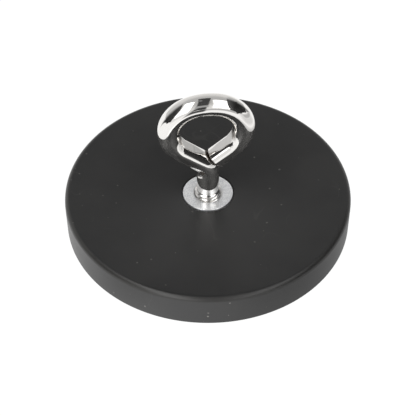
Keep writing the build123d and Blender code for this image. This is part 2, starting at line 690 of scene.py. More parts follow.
class TurnedRings(Effect):
    """The fine rings that a lathe leaves round the Z axis."""

    name = "turned_rings"
    inputs = {"Position": None, "Pitch": 0.12}
    outputs = ("Height", "Tone")
    fine_detail = 3.0
    broad_scale = 2.2
    broad_detail = 2.0

    def write(self, recipe: Recipe, taken: Sockets) -> tuple[Socket, ...]:
        """Reads a noise by distance from the axis only.

        Args:
            recipe: The group's tree.
            taken: The group's inputs by name.

        Returns:
            The height of the fine rings and the tone of the broad ones.
        """
        height = recipe.split(taken["Position"])[2]
        flat = recipe.vector("MULTIPLY", taken["Position"], (1.0, 1.0, 0.0))
        radius = recipe.measure("LENGTH", flat)
        outward = recipe.maths("ADD", radius, height)
        fine = self.along(recipe, outward, recipe.per(taken["Pitch"]), self.fine_detail)
        return fine, self.along(recipe, radius, self.broad_scale, self.broad_detail)

    def along(self, recipe: Recipe, distance: Socket, scale: object, detail: float) -> Socket:
        """A noise that changes along one distance."""
        node = recipe.add("ShaderNodeTexNoise", noise_dimensions="1D")
        return recipe.by_name(node, {"W": distance, "Scale": scale, "Detail": detail}).outputs[0]


class DrawnLines(Effect):
    """The fine lines that a die leaves along a wire that was then bent into a ring."""

    name = "drawn_lines"
    inputs = {"Position": None, "Middle": 30.0, "Width": 0.3}
    outputs = ("Height",)

    def write(self, recipe: Recipe, taken: Sockets) -> tuple[Socket, ...]:
        """Reads a noise by distance from the ring's axis and by depth, and hardly by angle.

        Args:
            recipe: The group's tree.
            taken: The group's inputs by name.

        Returns:
            The height.
        """
        across, depth, level = recipe.split(taken["Position"])
        height = recipe.maths("SUBTRACT", level, taken["Middle"])
        radius = recipe.measure("LENGTH", recipe.join(across, 0.0, height))
        place = recipe.join(radius, depth, recipe.maths("ARCTAN2", height, across))
        return (recipe.noise(place, taken["Width"]),)


# ------------------------------------------------------------------ finishes


@dataclass(frozen=True, kw_only=True)
class Finish:
    """A material: the values that are the same all over, and a recipe for the rest.

    Its sheen gives the roughness over a noise.
    """

    name: str
    sheen: Ramp
    bump: float
    bump_depth: float = 0.02 * MM
    metallic: float = 0.0
    index: float = 1.5
    stretch: float = 0.0

    def material(self) -> bpy.types.Material:
        """Makes the material.

        Returns:
            A node material with its pattern in place.
        """
        made, recipe = empty_material(self.name)
        even = {"Metallic": self.metallic, "IOR": self.index, "Anisotropic": self.stretch}
        shader = recipe.by_name(recipe.add("ShaderNodeBsdfPrincipled"), even)
        self.pattern(recipe, shader)
        recipe.feed(recipe.add("ShaderNodeOutputMaterial").inputs["Surface"], shader.outputs[0])
        return made

    def pattern(self, recipe: Recipe, shader: Node) -> None:
        """Writes what changes over the surface.

        Args:
            recipe: The material's tree.
            shader: The surface shader that it feeds.
        """
        raise NotImplementedError

    def raise_bump(self, recipe: Recipe, shader: Node, height: Socket) -> None:
        """Feeds a height through a Bump node to the shader's Normal.

        Args:
            recipe: The material's tree.
            shader: The surface shader.
            height: The height, in bump depths.
        """
        values = {"Strength": self.bump, "Distance": self.bump_depth, "Height": height}
        bump = recipe.by_name(recipe.add("ShaderNodeBump"), values)
        recipe.feed(shader.inputs["Normal"], bump.outputs[0])


@dataclass(frozen=True)
class MouldedRubber(Finish):
    """Satin black moulded rubber, a little dusty, with a rounded edge greyed partly by wear and partly by
    a painted highlight that is stronger on the left.
    """

    name: str = "moulded_rubber"
    bump: float = 0.25
    sheen: Ramp = Ramp(0.3, 0.7, 0.31, 0.37)
    black: Colour = (0.006, 0.006, 0.0062, 1.0)
    greyed: Colour = (0.012, 0.0118, 0.0115, 1.0)
    # This colour paints the dust specks and the handling marks, and also the painted highlight on the
    # rounded edge.
    dust_and_highlight: Colour = (0.30, 0.29, 0.27, 1.0)
    cloud_size: float = 14.0
    cloud_detail: float = 3.0
    clouding: Ramp = Ramp(0.35, 0.7)
    grain_size: float = 0.22
    speck_spacing: float = 2.7
    speck_size: float = 0.26
    speck_share: float = 0.6
    speck_cover: float = 0.6
    speck_height: float = 2.0
    speck_dulling: float = 0.3
    mark_length: float = 9.0
    mark_width: float = 0.01
    mark_cover: float = 0.03
    # Where the rounded top edge is greyed: partly wear, partly a painted highlight that is stronger on
    # the left.
    edge_below: Ramp = Ramp(8.3, 8.5, 1.0, 0.0)
    edge_above: Ramp = Ramp(7.0, 7.7, 0.0, 0.09)
    edge_highlight_across: Ramp = Ramp(-15.0, 10.0, 1.0, 0.4)
    top_dulling: Ramp = Ramp(8.35, 8.5, 0.0, 0.08)

    def pattern(self, recipe: Recipe, shader: Node) -> None:
        """Cloudy black with grain, dust specks, faint handling marks and an edge greyed partly by wear
        and partly by a painted highlight.

        Args:
            recipe: The material's tree.
            shader: The surface shader.
        """
        place = recipe.millimetres()
        across, _, level = recipe.split(place)
        clouds = recipe.noise(place, self.cloud_size, self.cloud_detail)
        grain = FineGrain().place(recipe, position=place, size=self.grain_size)["Height"]
        specks = DustSpecks().place(
            recipe,
            position=place,
            spacing=self.speck_spacing,
            size=self.speck_size,
            share=self.speck_share,
        )["Mask"]
        marks = HandlingMarks().place(
            recipe, position=place, length=self.mark_length, width=self.mark_width
        )["Mask"]
        # The rounded top edge is greyed with the dust colour: partly wear, partly a painted highlight
        # that is stronger on the left.
        edge = recipe.product(
            recipe.ramp(level, self.edge_below),
            recipe.ramp(level, self.edge_above),
            recipe.ramp(across, self.edge_highlight_across),
        )
        skin = recipe.blend(recipe.ramp(clouds, self.clouding), self.black, self.greyed)
        marks_wear_and_highlight = recipe.maths("MULTIPLY_ADD", marks, self.mark_cover, edge)
        rubbed = recipe.blend(marks_wear_and_highlight, skin, self.dust_and_highlight)
        dusty = recipe.blend(recipe.product(specks, self.speck_cover), rubbed, self.dust_and_highlight)
        recipe.feed(shader.inputs["Base Color"], dusty)
        dull = recipe.maths("ADD", recipe.ramp(clouds, self.sheen), recipe.ramp(level, self.top_dulling))
        dull = recipe.maths("MULTIPLY_ADD", specks, self.speck_dulling, dull)
        recipe.feed(shader.inputs["Roughness"], dull)
        self.raise_bump(recipe, shader, recipe.maths("MULTIPLY_ADD", specks, self.speck_height, grain))


@dataclass(frozen=True, kw_only=True)
class BrightPlate(Finish):
    """Bright nickel-chrome plating over drawn wire, with painted shade where it lies close.

    The seam is where the free end meets the neck, and the way that the free end faces there.
    """

    seam: Place
    seam_facing: Place
    name: str = "bright_nickel_plate"
    metallic: float = 1.0
    bump: float = 0.6
    bump_depth: float = 0.006 * MM
    sheen: Ramp = Ramp(0.3, 0.75, 0.035, 0.08)
    bright: Colour = (0.90, 0.885, 0.865, 1.0)
    warm: Colour = (0.86, 0.84, 0.81, 1.0)
    # Colour of the painted shade by the seam, in the neck's crease and high inside the eye.
    painted_shade_colour: Colour = (0.085, 0.066, 0.05, 1.0)
    haze_size: float = 2.5
    haze_detail: float = 3.0
    line_width: float = 0.3
    mark_length: float = 2.5
    mark_width: float = 0.01
    mark_dulling: float = 0.12
    painted_shade_dulling: float = 0.5
    thread_dulling: Ramp = Ramp(9.7, 9.9, 0.1, 0.0)
    seam_near: Ramp = Ramp(-0.12, 0.0)
    seam_far: Ramp = Ramp(0.4, 0.65, 1.0, 0.0)
    seam_reach: Ramp = Ramp(2.8, 3.3, 1.0, 0.0)
    crease: Place = (-1.7, -2.2, 17.15)
    crease_reach: Ramp = Ramp(0.6, 1.05, 0.9, 0.0)
    eye_middle: Place = (-0.38, 0.0, 26.5)
    hole_rim: Ramp = Ramp(6.1, 6.7, 0.68, 0.0)
    hole_upper: Ramp = Ramp(25.5, 27.5)
    wear_size: float = 2.0
    wear: Ramp = Ramp(0.3, 0.7, 0.025, 0.065)
    wear_up: Ramp = Ramp(28.0, 33.0, 1.0, 0.1)
    wear_out: Ramp = Ramp(7.0, 8.5, 0.2, 1.0)

    def pattern(self, recipe: Recipe, shader: Node) -> None:
        """A mirror with a slight haze, die lines, hairline marks, wear and painted shade.

        Args:
            recipe: The material's tree.
            shader: The surface shader.
        """
        place = recipe.millimetres()
        level = recipe.split(place)[2]
        off_middle = recipe.vector("SUBTRACT", place, self.eye_middle)
        from_eye = recipe.measure("LENGTH", recipe.vector("MULTIPLY", off_middle, (1.0, 0.0, 1.0)))
        haze = recipe.noise(place, self.haze_size, self.haze_detail)
        lines = DrawnLines().place(
            recipe, position=place, middle=self.eye_middle[2], width=self.line_width
        )["Height"]
        marks = HandlingMarks().place(
            recipe, position=place, length=self.mark_length, width=self.mark_width
        )["Mask"]
        # dark holds the painted shade: by the seam, in the neck's crease and high inside the eye, darker
        # and duller.
        dark = self.painted_shade_mask(recipe, place, level, from_eye)
        plate = recipe.blend(haze, self.bright, self.warm)
        recipe.feed(shader.inputs["Base Color"], recipe.blend(dark, plate, self.painted_shade_colour))
        worn = recipe.product(
            recipe.ramp(recipe.noise(place, self.wear_size), self.wear),
            recipe.ramp(level, self.wear_up),
            recipe.ramp(from_eye, self.wear_out),
        )
        recipe.feed(shader.inputs["Metallic"], recipe.maths("SUBTRACT", self.metallic, worn))
        dull = recipe.maths("MULTIPLY_ADD", marks, self.mark_dulling, recipe.ramp(haze, self.sheen))
        dull = recipe.maths("ADD", dull, recipe.ramp(level, self.thread_dulling))
        dull = recipe.maths("MULTIPLY_ADD", dark, self.painted_shade_dulling, dull)
        recipe.feed(shader.inputs["Roughness"], dull)
        self.raise_bump(recipe, shader, lines)

    def painted_shade_mask(self, recipe: Recipe, place: Socket, level: Socket, from_eye: Socket) -> Socket:
        """Where shade is painted: by the seam, in the neck's crease and high inside the eye.

        Args:
            recipe: The material's tree.
            place: The place on the bolt.
            level: Its height.
            from_eye: Its distance from the axis of the eye.

        Returns:
            How strong the painted shade is.
        """
        from_seam = recipe.vector("SUBTRACT", place, self.seam)
        past = recipe.measure("DOT_PRODUCT", from_seam, self.seam_facing)
        by_seam = recipe.product(
            recipe.ramp(past, self.seam_near),
            recipe.ramp(past, self.seam_far),
            recipe.ramp(recipe.measure("LENGTH", from_seam), self.seam_reach),
        )
        off_crease = recipe.measure("DISTANCE", place, self.crease)
        in_eye = recipe.product(recipe.ramp(from_eye, self.hole_rim), recipe.ramp(level, self.hole_upper))
        low = recipe.maths("MAXIMUM", by_seam, recipe.ramp(off_crease, self.crease_reach))
        return recipe.maths("MAXIMUM", low, in_eye)


@dataclass(frozen=True)
class TurnedZinc(Finish):
    """Zinc-plated turned steel, with its highlights drawn out across the lathe's rings."""

    name: str = "turned_zinc_steel"
    metallic: float = 0.8
    stretch: float = 0.7
    stretch_turn: float = 0.25
    bump: float = 0.12
    bump_depth: float = 0.01 * MM
    sheen: Ramp = Ramp(0.3, 0.7, 0.33, 0.41)
    pale: Colour = (0.99, 0.995, 1.0, 1.0)
    grey: Colour = (0.74, 0.755, 0.775, 1.0)
    ring_pitch: float = 0.1
    ring_share: float = 0.2
    mottle_size: float = 0.28
    mottle_detail: float = 2.0
    mottle_rough: float = 0.6
    mottling: Ramp = Ramp(0.4, 0.6)
    mottle_share: float = 0.8
    mottle_height: float = 6.0

    def pattern(self, recipe: Recipe, shader: Node) -> None:
        """Rings round the bore, broad and fine, with mottling in the plating.

        Args:
            recipe: The material's tree.
            shader: The surface shader.
        """
        place = recipe.millimetres()
        rings = TurnedRings().place(recipe, position=place, pitch=self.ring_pitch)
        mottle = recipe.noise(place, self.mottle_size, self.mottle_detail, self.mottle_rough)
        ringed = recipe.product(rings["Tone"], self.ring_share)
        mottled = recipe.ramp(mottle, self.mottling)
        share = recipe.maths("MULTIPLY_ADD", mottled, self.mottle_share, ringed)
        round_axis = recipe.add("ShaderNodeTangent", direction_type="RADIAL", axis="Z")
        changing = {
            "Base Color": recipe.blend(share, self.pale, self.grey),
            "Roughness": recipe.ramp(mottle, self.sheen),
            "Anisotropic Rotation": self.stretch_turn,
            "Tangent": round_axis.outputs[0],
        }
        recipe.by_name(shader, changing)
        height = recipe.maths("MULTIPLY_ADD", mottle, self.mottle_height, rings["Height"])
        self.raise_bump(recipe, shader, height)


@dataclass(frozen=True, kw_only=True)
class CloudyMetal(Finish):
    """A plain metal, cloudy and grained, for a part that lies inside the rubber."""

    metallic: float = 1.0
    pale: Colour
    dark: Colour
    cloud_size: float
    cloud_detail: float
    grain_size: float

    def pattern(self, recipe: Recipe, shader: Node) -> None:
        """Two tones and a sheen that follow the same clouds, with a fine grain.

        Args:
            recipe: The material's tree.
            shader: The surface shader.
        """
        place = recipe.millimetres()
        clouds = recipe.noise(place, self.cloud_size, self.cloud_detail)
        grain = FineGrain().place(recipe, position=place, size=self.grain_size)["Height"]
        recipe.feed(shader.inputs["Base Color"], recipe.blend(clouds, self.pale, self.dark))
        recipe.feed(shader.inputs["Roughness"], recipe.ramp(clouds, self.sheen))
        self.raise_bump(recipe, shader, grain)


@dataclass(frozen=True)
class StampedSteel(CloudyMetal):
    """Cold-rolled steel of the back plate."""

    name: str = "stamped_steel"
    bump: float = 0.2
    sheen: Ramp = Ramp(0.3, 0.7, 0.4, 0.55)
    pale: Colour = (0.42, 0.42, 0.43, 1.0)
    dark: Colour = (0.30, 0.30, 0.31, 1.0)
    cloud_size: float = 6.0
    cloud_detail: float = 4.0
    grain_size: float = 0.35


@dataclass(frozen=True)
class MagnetNickel(CloudyMetal):
    """Nickel plating on the sintered magnets."""

    name: str = "magnet_nickel"
    bump: float = 0.08
    sheen: Ramp = Ramp(0.3, 0.7, 0.15, 0.3)
    pale: Colour = (0.70, 0.67, 0.62, 1.0)
    dark: Colour = (0.60, 0.57, 0.53, 1.0)
    cloud_size: float = 3.0
    cloud_detail: float = 2.0
    grain_size: float = 0.25


# ------------------------------------------------------------------ eye bolt


@dataclass(frozen=True)
class RolledThread:
    """A rolled right-hand thread, told by its radius at an angle and a height.

    Its flats and its start are shares of the pitch.
    """

    crest: float = 2.95 * MM
    depth: float = 0.5 * MM
    pitch: float = 1.0 * MM
    bottom: float = 2.0 * MM
    top: float = 9.8 * MM
    run_out: float = 0.35 * MM
    lead_in: float = 0.6 * MM
    crest_flat: float = 0.12
    root_flat: float = 0.04
    start: float = 0.5

    def radius(self, angle: float, height: float, wire: float) -> float:
        """How far the surface is from the axis.

        Args:
            angle: The angle round the axis, in radians.
            height: The height on the bolt.
            wire: The radius of the plain wire above the thread.

        Returns:
            The radius.
        """
        turn = (height / self.pitch - angle / FULL_TURN + self.start) % 1.0
        slope = 0.5 - self.crest_flat - self.root_flat
        groove = ease((abs(turn - 0.5) - self.crest_flat) / slope)
        fade = ease((height - (self.top - self.pitch / 2)) / (self.run_out + self.pitch / 2))
        crest = self.crest + (wire - self.crest) * ease((height - self.top) / self.run_out)
        root = (self.crest - self.depth) * (1 - fade) + wire * fade
        full = crest + (root - crest) * groove
        return min(full, self.crest - self.lead_in + (height - self.bottom))


@dataclass(frozen=True)
class PressedFlat:
    """A flat that the bending tool pressed along a straight leg of the eye.

    It faces a number of degrees round the wire, from the front towards the inside of the
    eye, and runs between two distances down the leg from where the leg leaves its side arc.
    Its start slants, by a share of the distance across it, and runs out into the arc.
    """

    facing: float
    depth: float
    start: float
    end: float
    start_fade: float
    end_fade: float
    slant: float = 0.0
    softness: float = 0.05 * MM

    def strength(self, down: float, across: float) -> float:
        """How much of its depth the flat has at a distance down the leg and across the flat."""
        begun = down - self.start + self.slant * across
        return ease(begun / self.start_fade) * ease((self.end - down) / self.end_fade)


@dataclass(frozen=True)
class Leg:
    """A straight leg of the eye, with the flats that were pressed into it.

    Its skin ends at the seam, on the side that the seam faces. The grasp is how far from its
    middle a point may lie, in wire radii.
    """

    top: Vector
    down: Vector
    inward: Vector
    seam: Vector
    side: Vector
    inside: float
    flats: tuple[PressedFlat, ...]
    grasp: float = 1.4

    def press(self, point: Vector, wire: float) -> Vector:
        """Moves a point of the wire's skin to where the flats leave it.

        Args:
            point: A point on the round wire.
            wire: The wire's radius.

        Returns:
            The same point, or the point on the flat that takes its place.
        """
        distance = (point - self.top).dot(self.down)
        spoke = point - self.top - self.down * distance
        if spoke.length > self.grasp * wire or (point - self.seam).dot(self.side) < 0:
            return point
        up_arc = min(distance, 0.0)
        arc_rise = self.inside - math.sqrt(max(self.inside**2 - up_arc**2, 0.0))
        for flat in self.flats:
            round_wire = math.radians(flat.facing)
            facing = self.inward * math.sin(round_wire) - Vector((0, math.cos(round_wire), 0))
            across = self.inward * math.cos(round_wire) + Vector((0, math.sin(round_wire), 0))
            strength = flat.strength(distance, spoke.dot(across))
            level = wire - flat.depth * strength + (1 - strength) * arc_rise
            height = spoke.dot(facing)
            # The lower of skin and flat, with their corner rounded over the softness.
            overlap = max(flat.softness - abs(height - level), 0) ** 2 / (4 * flat.softness)
            if strength > 0:
                spoke += facing * (min(height, level) - overlap - height)
        return self.top + self.down * distance + spoke


@dataclass(frozen=True)
class NeckDent:
    """The nick that the bending pin left under the inside of the bend.

    It rises as it runs round the wire, from a shallow start to its full depth, and fades out.
    """

    depth: float = 0.3 * MM
    low: float = 14.85 * MM
    rise: float = 2.2 * MM
    half_height: float = 0.45 * MM
    shallow: float = 0.3
    full: float = 40.0
    end: float = 62.0
    fade: float = 16.0

    def sink(self, along: float, turned: float) -> float:
        """How deep the skin lies.

        Args:
            along: The height on the shank, carried on along the bend's centre-line.
            turned: The degrees round the wire from the inside of the bend.

        Returns:
            The depth.
        """
        middle = self.low + self.rise * (1 - math.cos(math.radians(turned)))
        share = (along - middle) / self.half_height
        strength = self.shallow + (1 - self.shallow) * ease(turned / self.full)
        strength *= ease((self.end - turned) / self.fade)
        return self.depth * strength * max(0.0, 1 - share * share) ** 2


@dataclass
class EyeBolt:
    """The eye bolt: one bright wire, threaded below and bent round to its own neck.

    Each step is the length of one ring of faces, or its degrees on an arc. A point belongs to
    the wire's skin between the core and the skin, both in wire radii.
    """

    wire: float = 2.575 * MM
    neck_start: float = 16.35 * MM
    neck_radius: float = 2.975 * MM
    shank_leg: float = 50.3
    free_leg: float = 48.9
    side_radius: float = 7.575 * MM
    crown_radius: float = 11.475 * MM
    side_offset: float = 0.93 * MM
    eye_shift: float = -0.38 * MM
    free_end_gap: float = 0.05 * MM
    free_end_round: float = 0.3 * MM
    sides: int = 112
    thread_step: float = 0.05 * MM
    straight_step: float = 0.15 * MM
    dent_step: float = 0.06 * MM
    dented_from: float = 13.8 * MM
    arc_step: float = 1.0
    rim_segments: int = 4
    on_rim_within: float = 0.01 * MM
    upright: float = 0.999
    core: float = 0.5
    skin: float = 1.05
    sharp_over: float = 40.0
    thread: RolledThread = RolledThread()
    dent: NeckDent = NeckDent()
    rising_flats: tuple[PressedFlat, ...] = (
        PressedFlat(
            facing=82.0, depth=0.28 * MM, start=-2.3 * MM, end=5.0 * MM,
            start_fade=0.8 * MM, end_fade=3.5 * MM, slant=0.67,
        ),
    )
    free_flats: tuple[PressedFlat, ...] = (
        PressedFlat(
            facing=82.0, depth=0.24 * MM, start=-2.65 * MM, end=4.2 * MM,
            start_fade=0.8 * MM, end_fade=2.6 * MM, slant=0.5,
        ),
        PressedFlat(
            facing=28.0, depth=0.03 * MM, start=-0.5 * MM, end=9.0 * MM,
            start_fade=1.5 * MM, end_fade=1.0 * MM, softness=0.12 * MM,
        ),
    )

    def free_down(self) -> Vector:
        """The direction down the free leg."""
        free = math.radians(self.free_leg)
        return Vector((-math.sin(free), 0, -math.cos(free)))

    def centres(self) -> dict[str, Vector]:
        """Works out the arcs' centres, the ends of the straight legs and the seam.

        Returns:
            Points in the XZ plane by name.
        """
        shank, free = math.radians(self.shank_leg), math.radians(self.free_leg)
        corner = self.neck_radius * math.tan(shank / 2)
        left_x = self.eye_shift - self.side_offset
        touch_x = left_x - self.side_radius * math.cos(shank)
        touch_z = self.neck_start + corner - touch_x / math.tan(shank)
        middle = touch_z + self.side_radius * math.sin(shank)
        rise = math.sqrt((self.crown_radius - self.side_radius) ** 2 - self.side_offset**2)
        right = Vector((self.eye_shift + self.side_offset, 0, middle))
        along = -self.free_down()
        right_touch = right + self.side_radius * Vector((math.cos(free), 0, -math.sin(free)))
        neck = Vector((-self.neck_radius, 0, self.neck_start))
        level = neck.dot(along) + self.neck_radius + self.wire + self.free_end_gap
        free_end = right_touch - along * (right_touch.dot(along) - level)
        return {
            "neck": neck,
            "left_touch": Vector((touch_x, 0, touch_z)),
            "left": Vector((left_x, 0, middle)),
            "crown": Vector((self.eye_shift, 0, middle - rise)),
            "right": right,
            "right_touch": right_touch,
            "free_end": free_end,
            "seam": free_end + self.free_down() * self.free_end_gap / 2,
        }

    def bend(self, bench: Bench, centre: Vector, degrees: float) -> None:
        """Bends the wire round a centre.

        Args:
            bench: The wire, with its open end selected.
            centre: The bend's centre.
            degrees: How far it turns, to the left if positive.
        """
        steps = round(abs(degrees) / self.arc_step)
        bench.sweep(centre, Turn.IN_THE_SIDE, math.radians(degrees), steps)

    def run(self, bench: Bench, end: Vector, step: float) -> None:
        """Draws the wire straight on to a point, in short steps.

        Args:
            bench: The wire, with its open end selected.
            end: Where the middle of the open end goes.
            step: About how long each step is.
        """
        move = end - bench.tip()
        steps = max(1, round(move.length / step))
        for _ in range(steps):
            bench.pull(move / steps)

    def build(self) -> bpy.types.Object:
        """Draws the wire from its threaded end round to its free end.

        Returns:
            The finished bolt.
        """
        at = self.centres()
        crown_turn = math.degrees(math.atan2(at["left"].z - at["crown"].z, self.side_offset))
        bench = Bench("eye_bolt_wire")
        bench.start_ring(self.wire, self.thread.bottom, self.sides)
        thread_end = self.thread.top + self.thread.run_out + self.thread_step
        bench.pull(Vector((0, 0, thread_end - self.thread.bottom)))
        bench.pull(Vector((0, 0, self.dented_from - thread_end)))
        self.run(bench, Vector((0, 0, self.neck_start)), self.dent_step)
        self.bend(bench, at["neck"], self.shank_leg)
        self.run(bench, at["left_touch"], self.straight_step)
        self.bend(bench, at["left"], -self.shank_leg - crown_turn)
        self.bend(bench, at["crown"], 2 * crown_turn - 180)
        self.bend(bench, at["right"], -crown_turn - self.free_leg)
        self.run(bench, at["free_end"], self.straight_step)
        self.round_free_end(bench, at["free_end"])
        self.cut_thread(bench, thread_end)
        self.press_flats(bench.work, at)
        self.dent_neck(bench.work, at["neck"])
        bench.smooth(self.sharp_over)
        return bench.work

    def press_flats(self, bolt: bpy.types.Object, at: dict[str, Vector]) -> None:
        """Presses the bending tool's flats into both straight legs.

        Args:
            bolt: The wire in object mode.
            at: The centre-line's points by name.
        """
        shank, free = math.radians(self.shank_leg), math.radians(self.free_leg)
        rising_down = Vector((math.sin(shank), 0, -math.cos(shank)))
        rising_in = Vector((math.cos(shank), 0, math.sin(shank)))
        free_in = Vector((-math.cos(free), 0, math.sin(free)))
        down, seam = self.free_down(), at["seam"]
        inside = self.side_radius - self.wire
        legs = (
            Leg(at["left_touch"], rising_down, rising_in, seam, down, inside, self.rising_flats),
            Leg(at["right_touch"], down, free_in, seam, -down, inside, self.free_flats),
        )
        for vertex in bolt.data.vertices:
            if vertex.co.z > self.neck_start:
                for leg in legs:
                    vertex.co = leg.press(vertex.co, self.wire)

    def dent_neck(self, bolt: bpy.types.Object, centre: Vector) -> None:
        """Sinks the bending pin's dent into the inside of the bend.

        Args:
            bolt: The wire in object mode.
            centre: The centre of the bend at the neck.
        """
        for vertex in bolt.data.vertices:
            place = vertex.co
            turned = math.atan2(place.z - centre.z, place.x - centre.x)
            if place.z < self.dented_from or not turned < math.radians(self.shank_leg):
                continue
            turned = max(0.0, turned)
            out = Vector((math.cos(turned), 0, math.sin(turned)))
            axis = centre + out * self.neck_radius if turned > 0 else Vector((0, 0, place.z))
            spoke = place - axis
            if self.core * self.wire < spoke.length < self.skin * self.wire:
                along = min(place.z, centre.z) + self.neck_radius * turned
                sunk = self.dent.sink(along, 180 - math.degrees(spoke.angle(out)))
                vertex.co = place - spoke.normalized() * sunk

    def round_free_end(self, bench: Bench, end: Vector) -> None:
        """Closes the free end and eases its rim.

        Args:
            bench: The wire, with its free end selected.
            end: The middle of the free end.
        """
        bpy.ops.mesh.edge_face_add()
        bench.close_skin()
        along = self.free_down()

        def on_rim(middle: Vector, direction: Vector) -> bool:
            """Whether an edge lies on the rim of the free end."""
            away = middle - end
            return abs(away.dot(along)) < self.on_rim_within and away.length > self.core * self.wire

        bench.choose(Pick.EDGES, on_rim)
        bpy.ops.mesh.bevel(
            offset=self.free_end_round, offset_type="OFFSET", segments=self.rim_segments, affect="EDGES"
        )

    def cut_thread(self, bench: Bench, top: float) -> None:
        """Closes the threaded end, then rolls the thread into its wall.

        Args:
            bench: The wire in edit mode.
            top: The height at which plain wire starts.
        """
        bottom = self.thread.bottom

        def upright(middle: Vector, direction: Vector) -> bool:
            """Whether an edge runs up the length to be threaded."""
            on_wall = middle.z < top and middle.xy.length > self.core * self.wire
            return on_wall and abs(direction.z) > self.upright

        bench.choose(Pick.EDGES, upright)
        cuts = round((top - bottom) / self.thread_step) - 1
        bpy.ops.mesh.subdivide(number_cuts=cuts)
        bench.choose(Pick.VERTS, lambda middle, direction: middle.z < bottom + WELD)
        bpy.ops.mesh.edge_face_add()
        bench.close_skin()
        bolt = bench.leave()
        for vertex in bolt.data.vertices:
            if vertex.co.z < top - WELD:
                angle = math.atan2(vertex.co.y, vertex.co.x)
                reach = self.thread.radius(angle, vertex.co.z, self.wire)
                vertex.co.xy = vertex.co.xy.normalized() * reach

    def finish(self) -> Finish:
        """Bright plate whose painted shade lies along the bolt's own seam."""
        seam = self.centres()["seam"] / MM
        return BrightPlate(seam=tuple(seam), seam_facing=tuple(self.free_down()))

    def dress(self, bolt: bpy.types.Object) -> None:
        """Plates the bolt and fixes it in place of its CAD node."""
        bolt.data.materials.append(self.finish().material())
        mount(bolt, Slot.BOLT, "eye_bolt")


# ------------------------------------------------------------------ bush


@dataclass
class ThreadedBush:
    """The turned bush: a barrel with a wider foot, bored and countersunk."""

    radius: float = 5.75 * MM
    foot_radius: float = 6.75 * MM
    bore: float = 3.0 * MM
    bottom: float = 1.0 * MM
    shoulder: float = 5.0 * MM
    top: float = 8.6 * MM
    edge_break: float = 0.06 * MM
    foot_break: float = 0.3 * MM
    mouth: float = 3.45 * MM
    mouth_step: float = 0.06 * MM
    countersink: float = 0.45 * MM
    eased: float = 0.03 * MM
    eased_segments: int = 2
    steps: int = 160
    sharp_over: float = 30.0
    finish: Finish = TurnedZinc()

    def build(self) -> bpy.types.Object:
        """Draws the section and turns it round the axis.

        Returns:
            The finished bush.
        """
        bench = Bench("turned_bush")
        bench.start_point(self.bore, self.bottom)
        bench.draw_through(
            [
                (self.foot_radius - self.foot_break, self.bottom),
                (self.foot_radius, self.bottom + self.foot_break),
                (self.foot_radius, self.shoulder),
                (self.radius, self.shoulder),
                (self.radius, self.top - self.edge_break),
                (self.radius - self.edge_break, self.top),
                (self.mouth, self.top),
                (self.mouth - self.mouth_step, self.top - self.mouth_step),
                ((self.mouth + self.bore) / 2, self.top - 2 * self.mouth_step),
                (self.bore, self.top - self.countersink),
                (self.bore, self.bottom),
            ]
        )
        bench.revolve(self.steps)
        bush = bench.leave()
        bench.apply(
            "BEVEL",
            width=self.eased,
            segments=self.eased_segments,
            limit_method="ANGLE",
            angle_limit=math.radians(self.sharp_over),
        )
        bench.smooth(self.sharp_over)
        return bush

    def dress(self, bush: bpy.types.Object) -> None:
        """Plates the bush and fixes it in place of its CAD node."""
        bush.data.materials.append(self.finish.material())
        mount(bush, Slot.BUSH, "threaded_bush")


# ------------------------------------------------------------------ rubber jacket


